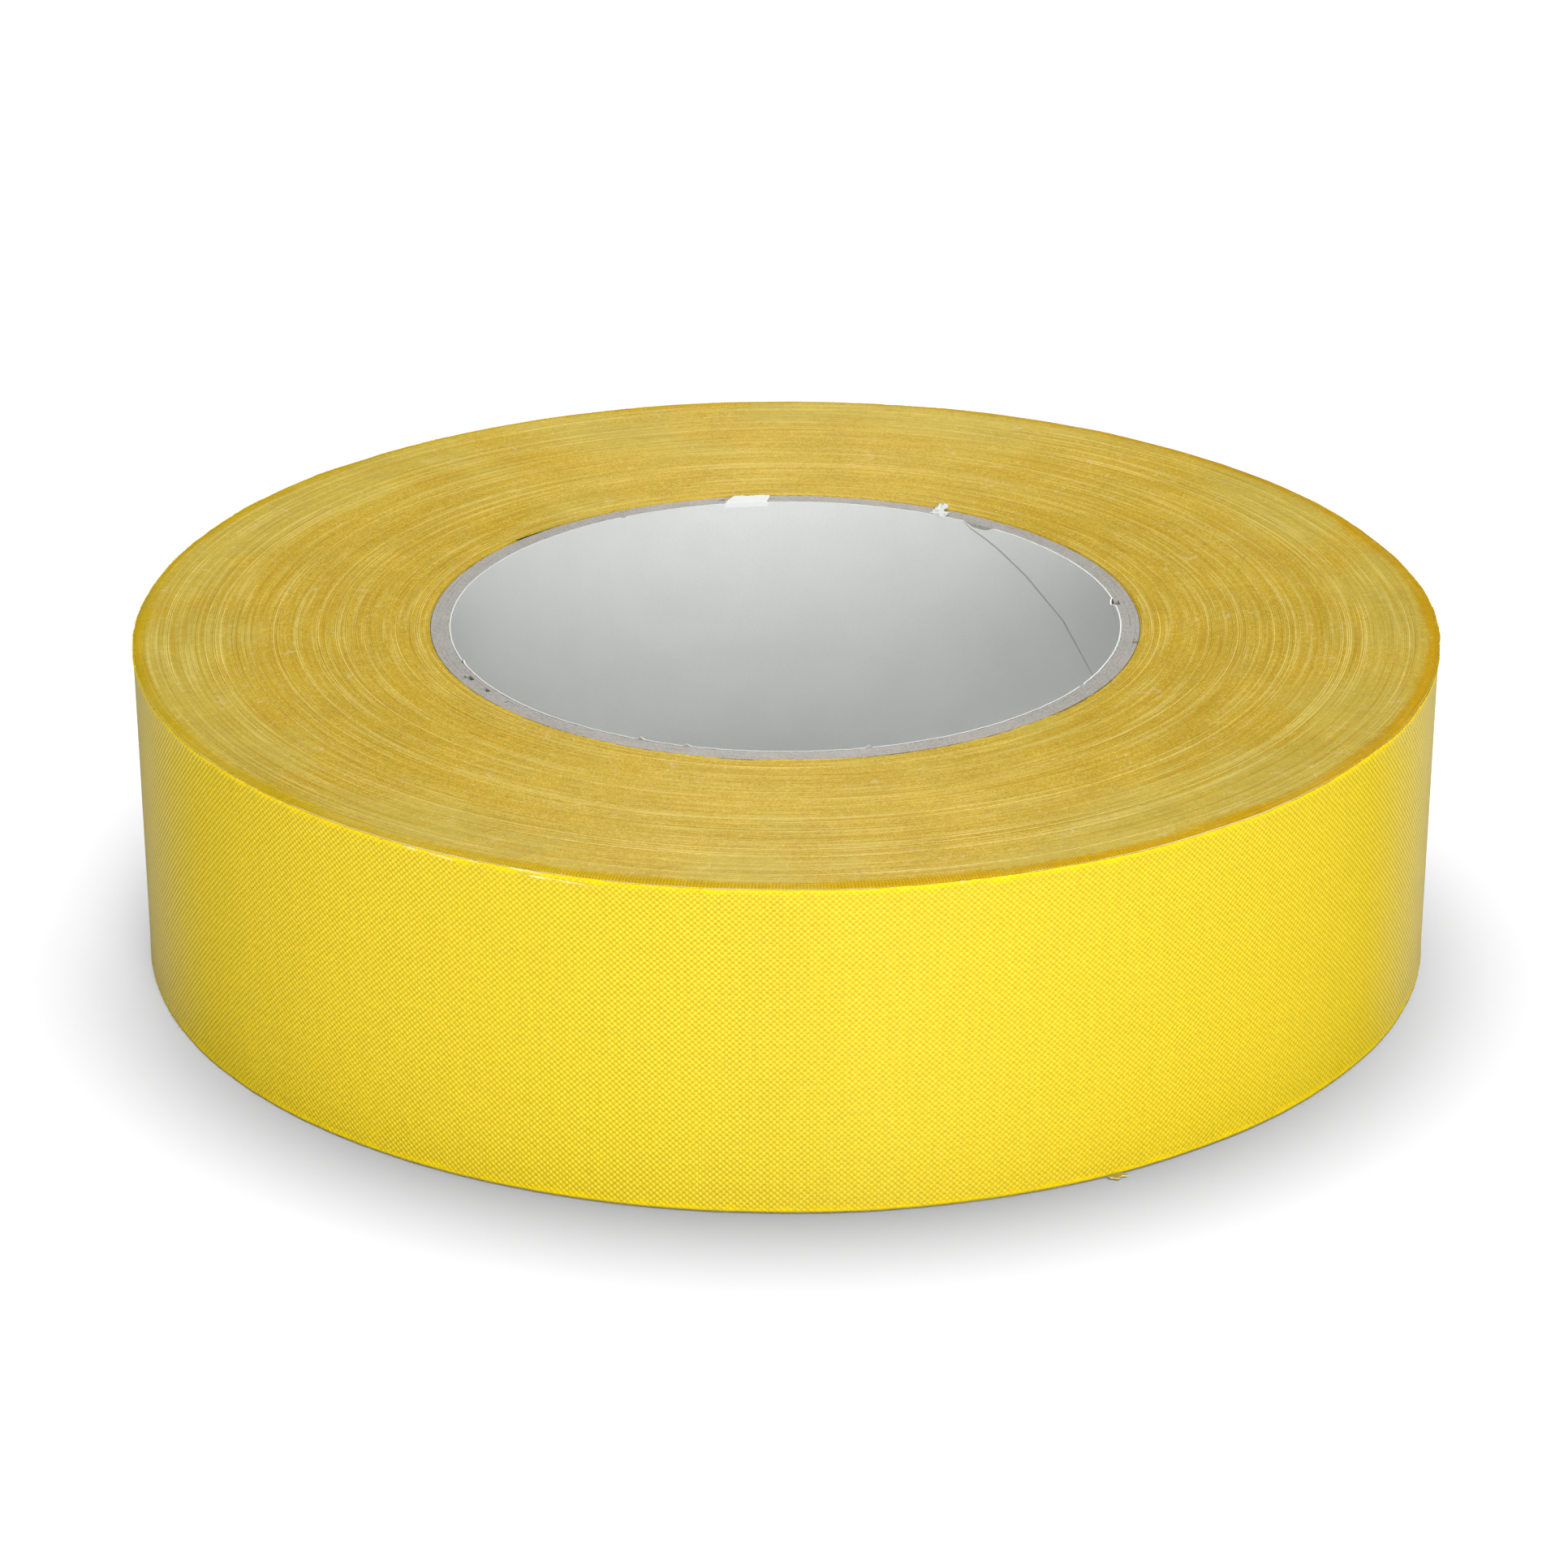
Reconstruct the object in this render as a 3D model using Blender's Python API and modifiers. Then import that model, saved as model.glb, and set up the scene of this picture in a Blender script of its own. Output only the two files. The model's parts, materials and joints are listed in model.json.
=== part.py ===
"""A roll of woven cloth tape on a spiral-wound paperboard core, lying on its side.

Metres, +Z up along the roll's axis. The origin is on the axis, in the plane of the lower side.
The tape winds outwards counter-clockwise, seen from above: an angle along the winding of 0 is its
start end on the core, and each full turn adds one tape thickness to its radius.
"""

from math import cos, pi, radians, sin

import bmesh
import bpy

# Driving dimensions.
ROLL_WIDTH = 0.038
BORE_RADIUS = 0.0381  # the 3 inch bore that such cores have
LINER_THICKNESS = 0.00015
PLY_THICKNESS = 0.0005
PLY_COUNT = 4
CLOTH_THICKNESS = 0.00017
ADHESIVE_THICKNESS = 0.00007
TURNS_TO_TIP = 138.8167
START_ANGLE = radians(141)  # where the tape starts on the core
FREE_END_LINKS = 3
LINK_ARC = radians(9)

# Joins. GLUE_LINE is what stays open between neighbours that are stuck together.
GLUE_LINE = 0.00002
BUTT_GAP = 0.00015
SEAM_TURN = radians(120)  # how far a ply's butt seam runs round the core from side to side
SEAM_STEPS = 24
LINER_SEAM_ANGLE = radians(-64)  # of the liner's seam at the lower side
PLY_SEAM_STEP = radians(81)  # from one ply's seam to the next one's

FACETS = 120  # round the full circle, the same for every layer, so that facets lie parallel
FACET = 2 * pi / FACETS
LIFT_FACETS = 3  # over which the second turn climbs over the start end

TAPE_THICKNESS = CLOTH_THICKNESS + ADHESIVE_THICKNESS
CORE_RADIUS = BORE_RADIUS + LINER_THICKNESS + PLY_COUNT * (PLY_THICKNESS + GLUE_LINE)
TAPE_START_RADIUS = CORE_RADIUS + GLUE_LINE
TIP = 2 * pi * TURNS_TO_TIP
PEEL_LINE = TIP - FREE_END_LINKS * LINK_ARC

COLOURS = {  # material: base colour, roughness
    "white_liner_paper": ((0.62, 0.64, 0.62), 0.45),
    "grey_chipboard": ((0.36, 0.34, 0.31), 0.9),
    "yellow_cloth": ((0.85, 0.62, 0.03), 0.8),
    "cut_tape_edges": ((0.62, 0.42, 0.05), 0.85),
    "rubber_adhesive": ((0.60, 0.52, 0.30), 0.35),
}


def material(name):
    found = bpy.data.materials.get(name)
    if found:
        return found
    colour, roughness = COLOURS[name]
    made = bpy.data.materials.new(name)
    made.use_nodes = True
    shader = made.node_tree.nodes["Principled BSDF"]
    shader.inputs["Base Color"].default_value = (*colour, 1)
    shader.inputs["Roughness"].default_value = roughness
    shader.inputs["Metallic"].default_value = 0
    return made


def collection(name):
    made = bpy.data.collections.new(name)
    bpy.context.scene.collection.children.link(made)
    return made


def add_object(name, data, home, material_name=None):
    made = bpy.data.objects.new(name, data)
    home.objects.link(made)
    if material_name:
        data.materials.append(material(material_name))
    return made


def smooth(mesh):
    mesh.shade_smooth()
    mesh.set_sharp_from_angle(angle=radians(35))


def path_mesh(name, points, closed=False):
    """A mesh of one line through the points, for the modifiers to give it a surface."""
    mesh = bpy.data.meshes.new(name)
    shape = bmesh.new()
    corners = [shape.verts.new(point) for point in points]
    for a, b in zip(corners, corners[1:]):
        shape.edges.new((a, b))
    if closed:
        shape.edges.new((corners[-1], corners[0]))
    shape.to_mesh(mesh)
    shape.free()
    return mesh


def add_screw(obj, angle, steps, rise=0.0):
    screw = obj.modifiers.new("turn", "SCREW")
    screw.axis = "Z"
    screw.angle = angle
    screw.screw_offset = rise
    screw.steps = steps
    screw.render_steps = steps
    screw.use_merge_vertices = angle == 2 * pi
    screw.merge_threshold = 0.00001
    screw.use_smooth_shade = True
    return screw


# The core: a liner and board plies, each a tube with its own helical butt seam.


def seam_cutter(name, inner, outer, angle, home):
    """A thin helical blade that opens a butt seam. It is at the given angle at the lower side."""
    margin = PLY_THICKNESS / 2
    overrun = 0.002
    turn_per_metre = SEAM_TURN / ROLL_WIDTH
    blade = add_object(
        name, path_mesh(name, [(inner - margin, 0, 0), (outer + margin, 0, 0)]), home
    )
    blade.location.z = -overrun
    blade.rotation_euler.z = angle - overrun * turn_per_metre
    length = ROLL_WIDTH + 2 * overrun
    add_screw(blade, length * turn_per_metre, SEAM_STEPS, length)
    thickness = blade.modifiers.new("thickness", "SOLIDIFY")
    thickness.thickness = BUTT_GAP
    thickness.offset = 0
    blade.hide_render = True
    blade.display_type = "WIRE"
    return blade


def core_layer(name, inner, thickness, seam_angle, material_name, homes):
    """One ply of the core: a turned tube, opened along its seam."""
    outer = inner + thickness
    profile = [
        (outer, 0, ROLL_WIDTH),
        (outer, 0, 0),
        (inner, 0, 0),
        (inner, 0, ROLL_WIDTH),
    ]
    tube = add_object(name, path_mesh(name, profile, closed=True), homes[0], material_name)
    add_screw(tube, 2 * pi, FACETS)
    cut = tube.modifiers.new("seam", "BOOLEAN")
    cut.operation = "DIFFERENCE"
    cut.object = seam_cutter(name + "_seam", inner, outer, seam_angle, homes[1])
    return tube


def build_core(homes):
    core_layer(
        "core_liner",
        BORE_RADIUS,
        LINER_THICKNESS,
        LINER_SEAM_ANGLE,
        "white_liner_paper",
        homes,
    )
    inner = BORE_RADIUS + LINER_THICKNESS + GLUE_LINE
    for number in range(1, PLY_COUNT + 1):
        core_layer(
            f"core_ply_{number}",
            inner,
            PLY_THICKNESS,
            LINER_SEAM_ANGLE + number * PLY_SEAM_STEP,
            "grey_chipboard",
            homes,
        )
        inner += PLY_THICKNESS + GLUE_LINE


# The tape. An angle along the winding is measured from the tape's start.


def spiral_radius(along):
    """Radius of the tape's adhesive side in the outer turns, which lie on one even spiral."""
    return TAPE_START_RADIUS + TAPE_THICKNESS * along / (2 * pi)


def first_turn_radius(along):
    """Radius of the adhesive side in the first turn: it lies on the core, and climbs at its end
    over the tape's own start."""
    to_go = (2 * pi - along) / (LIFT_FACETS * FACET)
    return TAPE_START_RADIUS + TAPE_THICKNESS * max(0.0, 1 - to_go)


def at(along, radius, z=0.0):
    angle = START_ANGLE + along
    return (radius * cos(angle), radius * sin(angle), z)


def facet_angles(start, end, end_gap=0.0):
    """Angles from start to end, a facet apart, with the last one held back by the gap."""
    count = round((end - start) / FACET)
    angles = [start + FACET * step for step in range(count + 1)]
    angles[-1] -= end_gap
    return angles


def strip(name, start, end, radius_at, depth, thickness, material_name, home):
    """A layer of the tape: a path round the roll, raised to the tape's width and thickened outwards.
    depth is how far the layer's inner side is from the tape's adhesive side."""
    end_gap = GLUE_LINE / radius_at(end)
    angles = facet_angles(start, end, end_gap)
    points = [at(angle, radius_at(angle) + depth) for angle in angles]
    mesh = path_mesh(name, points)
    shape = bmesh.new()
    shape.from_mesh(mesh)
    raised = bmesh.ops.extrude_edge_only(shape, edges=shape.edges[:])["geom"]
    corners = [item for item in raised if isinstance(item, bmesh.types.BMVert)]
    bmesh.ops.translate(shape, verts=corners, vec=(0, 0, ROLL_WIDTH))
    bmesh.ops.recalc_face_normals(shape, faces=shape.faces[:])
    shape.faces.ensure_lookup_table()
    first = shape.faces[0]
    if first.normal.dot(first.calc_center_median()) < 0:
        bmesh.ops.reverse_faces(shape, faces=shape.faces[:])
    shape.to_mesh(mesh)
    shape.free()
    smooth(mesh)
    layer = add_object(name, mesh, home, material_name)
    solid = layer.modifiers.new("thickness", "SOLIDIFY")
    solid.thickness = thickness - GLUE_LINE
    solid.offset = 1
    solid.use_even_offset = True
    return layer


def tape_layers(prefix, start, end, radius_at, home, suffix=""):
    """The adhesive and the cloth of one stretch of tape, as two solids."""
    adhesive = strip(
        prefix + "_adhesive" + suffix,
        start,
        end,
        radius_at,
        0,
        ADHESIVE_THICKNESS,
        "rubber_adhesive",
        home,
    )
    cloth = strip(
        prefix + "_cloth" + suffix,
        start,
        end,
        radius_at,
        ADHESIVE_THICKNESS,
        CLOTH_THICKNESS,
        "yellow_cloth",
        home,
    )
    return adhesive, cloth


def outline(curve, points):
    spline = curve.splines.new("POLY")
    spline.points.add(len(points) - 1)
    for point, place in zip(spline.points, points):
        point.co = (*place, 1)
    spline.use_cyclic_u = True


def build_wound_turns(home):
    """All turns from the second to the last but one, which lie tight on each other, as one solid.
    Its inner and outer outlines keep the step that a spiral has."""
    curve = bpy.data.curves.new("wound_turns", "CURVE")
    curve.dimensions = "2D"
    curve.fill_mode = "BOTH"
    curve.extrude = ROLL_WIDTH / 2
    last = PEEL_LINE - 2 * pi
    end_gap = GLUE_LINE / spiral_radius(last)
    outer = [
        at(along, spiral_radius(along) + TAPE_THICKNESS - GLUE_LINE)
        for along in facet_angles(last - 2 * pi, last, end_gap)
    ]
    inner = [
        at(along, first_turn_radius(along) + TAPE_THICKNESS)
        for along in facet_angles(0, 2 * pi, end_gap)
    ]
    outline(curve, outer)
    outline(curve, inner)
    pack = add_object("wound_turns", curve, home, "cut_tape_edges")
    pack.location.z = ROLL_WIDTH / 2


def build_free_end(home):
    """The last stretch of tape, in links that hinge about the cloth's outer side as it is peeled."""
    parent = None
    parent_place = (0, 0, 0)
    for number in range(1, FREE_END_LINKS + 1):
        start = PEEL_LINE + (number - 1) * LINK_ARC
        place = at(start, spiral_radius(start) + TAPE_THICKNESS, ROLL_WIDTH / 2)
        hinge = add_object(f"peel_hinge_{number}", None, home)
        hinge.location = [a - b for a, b in zip(place, parent_place)]
        hinge.parent = parent
        layers = tape_layers(
            "free_end", start, start + LINK_ARC, spiral_radius, home, f"_{number}"
        )
        for layer in layers:
            layer.parent = hinge
            layer.location = [-value for value in place]
        parent = hinge
        parent_place = place


def build_roll():
    for obj in list(bpy.data.objects):
        bpy.data.objects.remove(obj, do_unlink=True)
    roll = collection("cloth_tape_roll")
    cutters = collection("cutters")
    build_core((roll, cutters))
    tape_layers("first_turn", 0, 2 * pi, first_turn_radius, roll)
    build_wound_turns(roll)
    tape_layers("outer_turn", PEEL_LINE - 2 * pi, PEEL_LINE, spiral_radius, roll)
    build_free_end(roll)


build_roll()
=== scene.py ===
"""A roll of yellow woven cloth tape on a paperboard core, lying on its side on a white ground.

Metres, in the CAD's frame: +Z up along the roll's axis, the lower side at 0. The tape winds outwards
counter-clockwise, seen from above. "along" is the angle along the winding, in radians, from the
tape's start end on the core. "turn" is the same in whole turns.
"""

import json
from math import atan2, cos, hypot, pi, radians, sin

import bpy
import numpy as np
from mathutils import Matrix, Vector

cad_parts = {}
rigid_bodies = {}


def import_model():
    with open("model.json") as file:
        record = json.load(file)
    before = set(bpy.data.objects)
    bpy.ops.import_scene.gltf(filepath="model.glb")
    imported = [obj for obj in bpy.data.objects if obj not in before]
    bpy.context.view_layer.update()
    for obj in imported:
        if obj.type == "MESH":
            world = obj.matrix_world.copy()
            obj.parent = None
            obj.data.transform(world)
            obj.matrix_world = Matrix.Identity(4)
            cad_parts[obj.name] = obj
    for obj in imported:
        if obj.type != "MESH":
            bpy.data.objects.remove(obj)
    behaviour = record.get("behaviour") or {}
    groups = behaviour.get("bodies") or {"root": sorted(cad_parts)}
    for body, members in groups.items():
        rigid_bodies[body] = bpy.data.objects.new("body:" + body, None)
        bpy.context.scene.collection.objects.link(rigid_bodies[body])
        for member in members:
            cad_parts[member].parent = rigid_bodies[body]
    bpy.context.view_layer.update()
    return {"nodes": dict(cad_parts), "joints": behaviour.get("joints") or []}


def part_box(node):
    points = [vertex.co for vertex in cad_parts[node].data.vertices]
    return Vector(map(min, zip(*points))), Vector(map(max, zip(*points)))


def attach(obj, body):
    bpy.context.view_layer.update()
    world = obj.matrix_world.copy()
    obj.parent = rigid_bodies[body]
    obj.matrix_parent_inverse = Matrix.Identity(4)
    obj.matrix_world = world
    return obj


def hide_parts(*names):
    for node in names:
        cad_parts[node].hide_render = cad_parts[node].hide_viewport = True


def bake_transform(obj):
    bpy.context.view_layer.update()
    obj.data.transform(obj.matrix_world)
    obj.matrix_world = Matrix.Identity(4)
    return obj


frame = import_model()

MM = 0.001
TURN = 2 * pi

# The tape and the core, as the CAD has them.
TAPE_THICKNESS = 0.24 * MM
ADHESIVE_THICKNESS = 0.07 * MM
START_ANGLE = radians(141)
CLIMB = radians(9)  # over which the first turn climbs over the tape's own start end
CLIMB_GROWTH = 1.35  # from each turn to the next, until the step is smoothed out
START_LIFT = 0.22 * MM  # how far the tape stands clear of its own start end, where it crosses it
START_BRIDGE = 0.0275  # of a turn, over which it is stretched clear of the core before that
START_LANDING = 0.0035  # of a turn, over which it comes down again after that
LIFT_FADE = 7  # turns, over which the ones outside that one lose the lift
STEP_GONE = 40  # turns, by which that step has long been smoothed out
SEAM_TURN = radians(120)  # how far a ply's butt seam runs round the core from side to side
LINER_SEAM_ANGLE = radians(-64)  # at the lower side
PLY_SEAM_STEP = radians(81)
BUTT_GAP = 0.15 * MM

# The cloth.
YARN_AROUND = 0.356 * MM  # pitch of the yarns that run across the tape, counted around the roll
YARN_ACROSS = 0.336 * MM  # pitch of the yarns that run around the roll, counted across the tape

# How the wound pack is not quite a cylinder.
LEAN_UPPER = 0.28 * MM  # the outermost turn stands this much wider at the upper side
LEAN_LOWER = -0.30 * MM
FLARE = 0.28 * MM  # of the outermost turns, close to the upper rim


# Reading the frame.


def radii(node):
    """Smallest and largest distance of a CAD node's corners from the roll's axis."""
    corners = frame["nodes"][node].data.vertices
    distances = [hypot(corner.co.x, corner.co.y) for corner in corners]
    return min(distances), max(distances)


low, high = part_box("wound_turns")
WIDTH = high.z - low.z
START_RADIUS = radii("first_turn_adhesive")[0]
OUTER_RADIUS = radii("outer_turn_cloth")[1]
BORE_RADIUS = radii("core_liner")[0]


def along_at(place):
    """Where a point on the outer side of the tape's last turn is, along the winding."""
    part = ((atan2(place[1], place[0]) - START_ANGLE) % TURN) / TURN
    turn = (hypot(place[0], place[1]) - START_RADIUS) / TAPE_THICKNESS - 1
    return TURN * (round(turn - part) + part)


HINGES = [Vector(joint["pos_m"]) for joint in frame["joints"]]
HINGES_ALONG = [along_at(hinge) for hinge in HINGES]
LINK_ARC = HINGES_ALONG[1] - HINGES_ALONG[0]
PEEL_LINE = HINGES_ALONG[0]
TIP = HINGES_ALONG[-1] + LINK_ARC


# Numbers that vary at random, the same on each run.


def eased(values, place):
    whole = np.floor(place).astype(int)
    rest = place - whole
    rest = rest * rest * (3 - 2 * rest)
    count = len(values)
    return values[whole % count] * (1 - rest) + values[(whole + 1) % count] * rest


def drift(place, step, seed):
    """Smooth random values from -1 to 1, that change about once a step along a line."""
    values = np.random.default_rng(seed).uniform(-1, 1, 4096)
    return eased(values, np.asarray(place, float) / step)


def round_drift(angle, count, seed):
    """The same round a circle, with the given count of changes."""
    values = np.random.default_rng(seed).uniform(-1, 1, count)
    return eased(values, np.asarray(angle, float) % TURN / TURN * count)


def step_up(value, start, end):
    """Rises smoothly from 0 at start to 1 at end."""
    part = np.clip((np.asarray(value, float) - start) / (end - start), 0, 1)
    return part * part * (3 - 2 * part)


# Places on the roll.


def winding_radius(along):
    """Radius of the tape's adhesive side. The first turn lies on the core and climbs over its own
    start end in a short step. Each next turn smooths that step, until the turns are an even spiral."""
    turn, part = np.divmod(np.asarray(along, float) / TURN, 1)
    climb = np.minimum(1, CLIMB / TURN * CLIMB_GROWTH**np.minimum(turn, STEP_GONE))
    off = (part + 0.5) % 1 - 0.5
    bridge = np.clip(1 + off / START_BRIDGE, 0, 1)
    landing = np.exp(-(off / START_LANDING) ** 2)
    hump = START_LIFT * np.where(off < 0, bridge, landing) * np.exp(-turn / LIFT_FADE)
    hump = np.where(turn + part < 0.5, 0, hump)
    return START_RADIUS + TAPE_THICKNESS * (turn + np.clip(1 - (1 - part) / climb, 0, 1)) + hump


def lean(radius, height):
    """How much wider or narrower the pack is at this height. It adds up from turn to turn."""
    share = (radius - START_RADIUS) / (OUTER_RADIUS - START_RADIUS)
    return np.clip(share, 0, 1) * (LEAN_LOWER + (LEAN_UPPER - LEAN_LOWER) * height / WIDTH)


def bulge(along, radius, height):
    """How the outermost turns wander from an even spiral, and spread a little towards the rims."""
    wave = 0.06 * MM * round_drift(along, 11, 51) + 0.03 * MM * round_drift(along, 37, 52)
    uneven = 1 + 0.7 * round_drift(along, 48, 63) + 0.4 * round_drift(along, 190, 62)
    rim = np.exp(-to_rim(height) / (0.9 * MM)) - 0.6 * np.exp(-to_rim(height) / (0.2 * MM))
    flare = FLARE * uneven * rim * np.where(height > WIDTH / 2, 1.0, 0.4)
    return (wave + flare) * np.exp(-(OUTER_RADIUS - radius) / (1.2 * MM))


def placed(angle, radius, height):
    """Points from an angle about the axis, a radius and a height, as an array of x, y, z."""
    angle, radius, height = np.broadcast_arrays(angle, radius, height)
    return np.stack([radius * np.cos(angle), radius * np.sin(angle), height], -1)


def wound(along, radius, height):
    out = radius + lean(radius, height) + bulge(along, radius, height)
    return placed(START_ANGLE + along, out, height)


def tape_length(along):
    """Length of the tape from its start to this point of the winding."""
    return along * (START_RADIUS + TAPE_THICKNESS * along / TURN / 2)


# Building meshes.


def piece(name, points, faces, materials, face_materials=None, attributes=None, sharp=40):
    mesh = bpy.data.meshes.new(name)
    mesh.from_pydata(np.asarray(points).reshape(-1, 3).tolist(), [], np.asarray(faces).tolist())
    for found in materials:
        mesh.materials.append(found)
    if face_materials is not None:
        mesh.polygons.foreach_set("material_index", np.asarray(face_materials, np.int32))
    for key, values in (attributes or {}).items():
        values = np.asarray(values, np.float32)
        kind, field = ("FLOAT_VECTOR", "vector") if values.ndim > 1 else ("FLOAT", "value")
        mesh.attributes.new(key, kind, "POINT").data.foreach_set(field, values.ravel())
    mesh.shade_smooth()
    mesh.set_sharp_from_angle(angle=radians(sharp))
    made = bpy.data.objects.new(name, mesh)
    bpy.context.scene.collection.objects.link(made)
    return made


def quads(a, b, c, d):
    return np.stack([a, b, c, d], -1).reshape(-1, 4)


def grid_quads(numbers):
    """Faces between the points of a grid. They face the side from which its columns run
    counter-clockwise below its rows."""
    return quads(numbers[:-1, :-1], numbers[:-1, 1:], numbers[1:, 1:], numbers[1:, :-1])


def slab(name, outer, inner, materials, strip=None, **options):
    """A closed sheet between two grids of points. materials are those of its outer side, its inner
    side and its cut edges. strip holds the flat place of each of the grid's points."""
    rows, columns = outer.shape[:2]
    front = np.arange(rows * columns).reshape(rows, columns)
    back = front + rows * columns
    skins = [grid_quads(front), grid_quads(back[:, ::-1])]
    edges = [
        grid_quads(np.stack([front[-1], back[-1]])),
        grid_quads(np.stack([back[0], front[0]])),
        grid_quads(np.stack([front[:, -1], back[:, -1]])[:, ::-1]),
        grid_quads(np.stack([front[:, 0], back[:, 0]])),
    ]
    faces = np.concatenate(skins + edges)
    kinds = np.repeat([0, 1, 2], [len(skins[0]), len(skins[1]), sum(map(len, edges))])
    attributes = None
    if strip is not None:
        attributes = {"strip": np.concatenate([strip.reshape(-1, 3)] * 2)}
    points = np.concatenate([outer.reshape(-1, 3), inner.reshape(-1, 3)])
    return piece(name, points, faces, materials, kinds, attributes, **options)


def rim_rows(count, crowding=3.4):
    """Heights from the lower side to the upper one, crowded towards both rims."""
    return WIDTH / 2 * (1 + np.tanh(crowding * np.linspace(-1, 1, count)) / np.tanh(crowding))


def to_rim(height):
    """Distance to the nearer rim."""
    return np.minimum(height, WIDTH - height)


def threads(name, roots, ways, bends, lengths, radius, material, segments=5, taper=0.5):
    """Many thin fibres in one mesh. Each starts at its root and bends evenly about its own axis."""
    count = len(roots)
    ways = ways / np.linalg.norm(ways, axis=1, keepdims=True)
    axes = np.cross(ways, bends)
    axes /= np.linalg.norm(axes, axis=1, keepdims=True)
    turned = np.linalg.norm(bends, axis=1)
    here = roots.copy()
    rings = []
    for step in range(segments + 1):
        angle = (turned * step / segments)[:, None]
        way = ways * np.cos(angle) + np.cross(axes, ways) * np.sin(angle)
        side = np.cross(axes, way)
        size = (np.broadcast_to(radius, count) * (1 - (1 - taper) * step / segments))[:, None]
        rings.append(np.stack([here + size * axes, here + size * side,
                               here - size * axes, here - size * side], 1))
        here = here + way * (lengths / segments)[:, None]
    points = np.stack(rings, 1)
    numbers = np.arange(points[..., 0].size).reshape(count, segments + 1, 4)
    nxt = np.roll(numbers, -1, axis=2)
    sides = quads(numbers[:, :-1], nxt[:, :-1], nxt[:, 1:], numbers[:, 1:])
    caps = np.concatenate([numbers[:, 0, ::-1], numbers[:, -1]])
    return piece(name, points, np.concatenate([sides, caps]), [material])


# Materials.


class Shader:
    """A material's nodes. Each method adds a node and returns what it puts out."""

    def __init__(self, name, roughness, **values):
        self.material = bpy.data.materials.new(name)
        self.material.use_nodes = True
        self.tree = self.material.node_tree
        self.surface = self.tree.nodes["Principled BSDF"]
        self.surface.inputs["Roughness"].default_value = roughness
        for socket, value in values.items():
            self.surface.inputs[socket.replace("_", " ")].default_value = value

    def add(self, kind, inputs, output=0, **settings):
        made = self.tree.nodes.new("ShaderNode" + kind)
        for key, value in settings.items():
            setattr(made, key, value)
        for socket, value in inputs.items():
            if isinstance(value, bpy.types.NodeSocket):
                self.tree.links.new(value, made.inputs[socket])
            else:
                made.inputs[socket].default_value = value
        return made.outputs[output]

    def math(self, operation, *values):
        return self.add("Math", dict(enumerate(values)), operation=operation)

    def place(self):
        return self.add("TexCoord", {}, "Object")

    def attribute(self, name, output="Vector"):
        return self.add("Attribute", {}, output, attribute_name=name)

    def axes(self, vector):
        split = self.add("SeparateXYZ", {0: vector}).node
        return [split.outputs[axis] for axis in "XYZ"]

    def grain(self, where, size, detail=2.0, distortion=0.0, roughness=0.5):
        """Noise whose spots are about this size, in metres."""
        inputs = {
            "Vector": where,
            "Scale": 1 / size,
            "Detail": detail,
            "Roughness": roughness,
            "Distortion": distortion,
        }
        return self.add("TexNoise", inputs)

    def ramp(self, value, start, end, low=0.0, high=1.0):
        inputs = {"Value": value, "From Min": start, "From Max": end, "To Min": low, "To Max": high}
        return self.add("MapRange", inputs, interpolation_type="SMOOTHSTEP")

    def mix(self, share, first, second):
        inputs = {0: share, 6: self.colour(first), 7: self.colour(second)}
        return self.add("Mix", inputs, 2, data_type="RGBA", clamp_factor=True)

    def shade(self, colour, amount):
        """The colour, made lighter or darker by a factor."""
        return self.add("VectorMath", {0: colour, "Scale": amount}, operation="SCALE")

    @staticmethod
    def colour(value):
        return (*value, 1) if isinstance(value, tuple) else value

    def finish(self, colour, height=None, distance=0.0, roughness=None, gloss=None):
        """Joins up the surface. height is the relief's, in shares of the distance."""
        links = self.tree.links
        links.new(colour, self.surface.inputs["Base Color"])
        if height is not None:
            bump = self.add("Bump", {"Height": height, "Distance": distance, "Strength": 1.0})
            links.new(bump, self.surface.inputs["Normal"])
        if roughness is not None:
            links.new(roughness, self.surface.inputs["Roughness"])
        if gloss is not None:
            links.new(gloss, self.surface.inputs["Specular IOR Level"])
        return self.material


CLOTH_CROWN = (0.955, 0.728, 0.004)
CLOTH_GROUND = (0.645, 0.450, 0.001)
CLOTH_CONTACT_SHADE = (0.30, 0.23, 0.03)
CLOTH_RIM = (0.92, 0.67, 0.002)
CLOTH_FUZZ_SHEEN = (1.0, 0.98, 0.85)


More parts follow.
